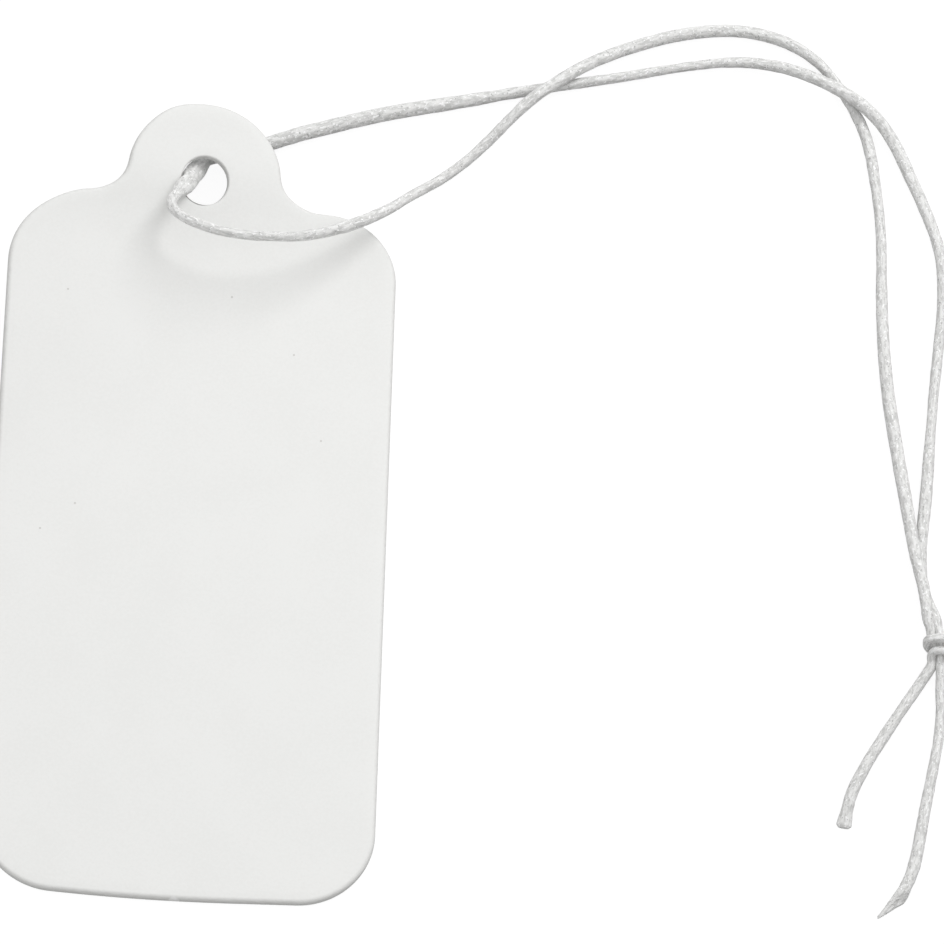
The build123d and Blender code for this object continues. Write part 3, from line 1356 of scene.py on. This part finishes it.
BACK_ROUTE: list[Point] = [
    (1.80, 1.85, 0.31),
    (3.06, 2.41, 0.32),
    (5.00, 3.02, 0.32),
    (7.40, 3.74, 0.32),
    (10.40, 4.34, 0.29),
    (13.40, 5.02, 0.26),
    (16.60, 5.60, 0.26),
    (19.40, 6.22, 0.26),
    (21.60, 6.55, 0.28),
    (23.30, 6.33, 0.44),
    (24.40, 5.88, 0.72),
    (25.45, 5.38, 0.86),
    (26.65, 4.68, 0.86),
    (27.56, 3.96, 0.60),
    (28.28, 2.96, 0.32),
    (28.86, 1.65, 0.26),
    (29.64, -0.10, 0.26),
    (30.26, -1.90, 0.26),
    (30.38, -4.00, 0.26),
    (30.11, -6.90, 0.26),
    (29.92, -9.80, 0.26),
    (29.80, -12.60, 0.26),
    (29.60, -14.70, 0.26),
    (29.62, -15.90, 0.26),
    (29.75, -16.76, 0.26),
    (29.96, -17.38, 0.34),
    (30.22, -18.00, 0.50),
    (30.35, -18.55, 0.64),
    (30.48, -19.08, 0.70),
    (30.46, -19.44, 0.64),
    (30.46, -19.84, 0.56),
    (30.49, -20.34, 0.46),
    (30.50, -21.05, 0.32),
    (30.53, -22.10, 0.27),
    (30.44, -23.40, 0.26),
    (30.20, -24.80, 0.26),
    (29.95, -26.25, 0.26),
    (29.74, -27.70, 0.26),
    (29.52, -28.95, 0.26),
    (29.02, -30.04, 0.26),
    (28.29, -31.05, 0.26),
]

BACK_WIDTHS: tuple[Span, ...] = (
    (0.00, 1.25),
    (0.06, 1.26),
    (0.12, 1.22),
    (0.18, 0.98),
    (0.25, 0.86),
    (0.29, 0.80),
    (0.33, 0.93),
    (0.42, 1.10),
    (0.52, 1.00),
    (0.60, 0.92),
    (0.65, 0.86),
    (0.69, 1.04),
    (0.78, 0.96),
    (0.86, 0.86),
    (0.94, 1.02),
    (1.00, 1.06),
)


@dataclass
class Studio:
    """The white table, the soft light and the camera."""

    floor_reach: float = 6.0
    floor_drop: float = 0.01 * MM
    fill: float = 0.820
    fill_low_share: float = 0.45
    fill_lean: Point = (-0.10, 0.22, 0.97)
    fill_span: Span = (-0.5, 0.9)
    key_aim: Point = (0.0, 13.95 * MM, 0.0)
    key_power: float = 0.235
    key_distance: float = 0.24
    key_size: float = 0.15
    key_turn: float = math.radians(45.0)
    key_height: float = math.radians(43.0)
    frame_pixels: float = 944.0
    focal_pixels: float = 11095.0
    camera_turn: float = math.radians(1.80)
    camera_height: float = math.radians(67.0)
    camera_distance: float = 0.45
    camera_near: float = 0.01
    aim: Point = (11.37 * MM, 1.91 * MM, 0.0)

    def floor(self) -> bpy.types.Object:
        """Lay the table that the tag lies on.

        Returns:
            The table.
        """
        reach = self.floor_reach
        corners = [(-reach, -reach), (reach, -reach), (reach, reach), (-reach, reach)]
        mesh = bpy.data.meshes.new("table")
        mesh.from_pydata([(x, y, -self.floor_drop) for x, y in corners], [], [(0, 1, 2, 3)])
        mesh.materials.append(FloorFinish().material())
        table = bpy.data.objects.new("table", mesh)
        bpy.context.scene.collection.objects.link(table)
        return table

    def world(self) -> None:
        """Light the tag softly, most from above and beyond the lobe, in front of plain white."""
        world = bpy.data.worlds.new("white_room")
        world.use_nodes = True
        bpy.context.scene.world = world
        graph = Graph(world.node_tree)
        path = graph.add("ShaderNodeLightPath").outputs
        looked_at = graph.clamp(seen_ray(graph, path), 0.0, 1.0)
        heading = graph.add("ShaderNodeTexCoord").outputs["Generated"]
        facing = graph.dot(heading, tuple(Vector(self.fill_lean).normalized()))
        soft = graph.ramp(facing, self.fill_span, self.fill * self.fill_low_share, self.fill)
        background = graph.tree.nodes["Background"]
        background.inputs["Color"].default_value = (1.0, 1.0, 1.0, 1.0)
        graph.feed(background.inputs["Strength"], graph.math("MAXIMUM", looked_at, soft))

    def key(self) -> None:
        """Add the soft lamp beyond the lobe, which throws the arching strand's shadow on the card."""
        lamp = bpy.data.lights.new("key", "AREA")
        lamp.shape = "DISK"
        lamp.size = self.key_size
        lamp.energy = self.key_power
        holder = bpy.data.objects.new("key", lamp)
        towards = Vector((
            math.sin(self.key_turn) * math.cos(self.key_height),
            math.cos(self.key_turn) * math.cos(self.key_height),
            math.sin(self.key_height),
        ))
        holder.location = Vector(self.key_aim) + towards * self.key_distance
        holder.rotation_mode = "QUATERNION"
        holder.rotation_quaternion = (-towards).to_track_quat("-Z", "Y")
        bpy.context.scene.collection.objects.link(holder)

    def camera(self) -> None:
        """Stand the camera where the photograph was taken from."""
        lens = bpy.data.cameras.new("camera")
        lens.lens = self.focal_pixels / self.frame_pixels * lens.sensor_width
        lens.clip_start = self.camera_near
        holder = bpy.data.objects.new("camera", lens)
        back = Vector((
            math.sin(self.camera_turn) * math.cos(self.camera_height),
            -math.cos(self.camera_turn) * math.cos(self.camera_height),
            math.sin(self.camera_height),
        ))
        holder.location = Vector(self.aim) + back * self.camera_distance
        holder.rotation_euler = (math.pi / 2 - self.camera_height, 0.0, self.camera_turn)
        bpy.context.scene.collection.objects.link(holder)
        bpy.context.scene.camera = holder

    def build(self) -> None:
        """Set the stage."""
        bpy.context.scene.view_settings.view_transform = "Standard"
        self.floor()
        self.world()
        self.key()
        self.camera()


def report(piece: bpy.types.Object) -> None:
    """Log a piece's name and how many triangles it has."""
    piece.data.calc_loop_triangles()
    LOG.info("%s: %d triangles", piece.name, len(piece.data.loop_triangles))


def main() -> None:
    """Build and dress the card and the two lengths of cord, and set the stage."""
    logging.basicConfig(level=logging.INFO, format="%(name)s %(message)s")
    hole = Vector(frame["joints"][0]["pos_m"])
    Studio().build()
    card = Card(hole)
    card_piece = card.build()
    card.dress(card_piece)
    report(card_piece)
    punch = card.punch(card_piece)
    cord_material = CordFinish().material()
    front = Cord(
        name="front_cord",
        hole=hole,
        route=FRONT_ROUTE,
        widths=FRONT_WIDTHS,
        stands_for=("front_strand", "cord_knot", "short_tail"),
        ending=Ending.FLARED,
        material=cord_material,
        punch=punch,
    )
    back = Cord(
        name="back_cord",
        hole=hole,
        route=BACK_ROUTE,
        widths=BACK_WIDTHS,
        stands_for=("back_strand", "long_tail"),
        ending=Ending.SLANTED,
        material=cord_material,
        punch=punch,
    )
    for cord in (front, back):
        piece = cord.build()
        cord.dress(piece)
        report(piece)


if __name__ == "__main__":
    main()
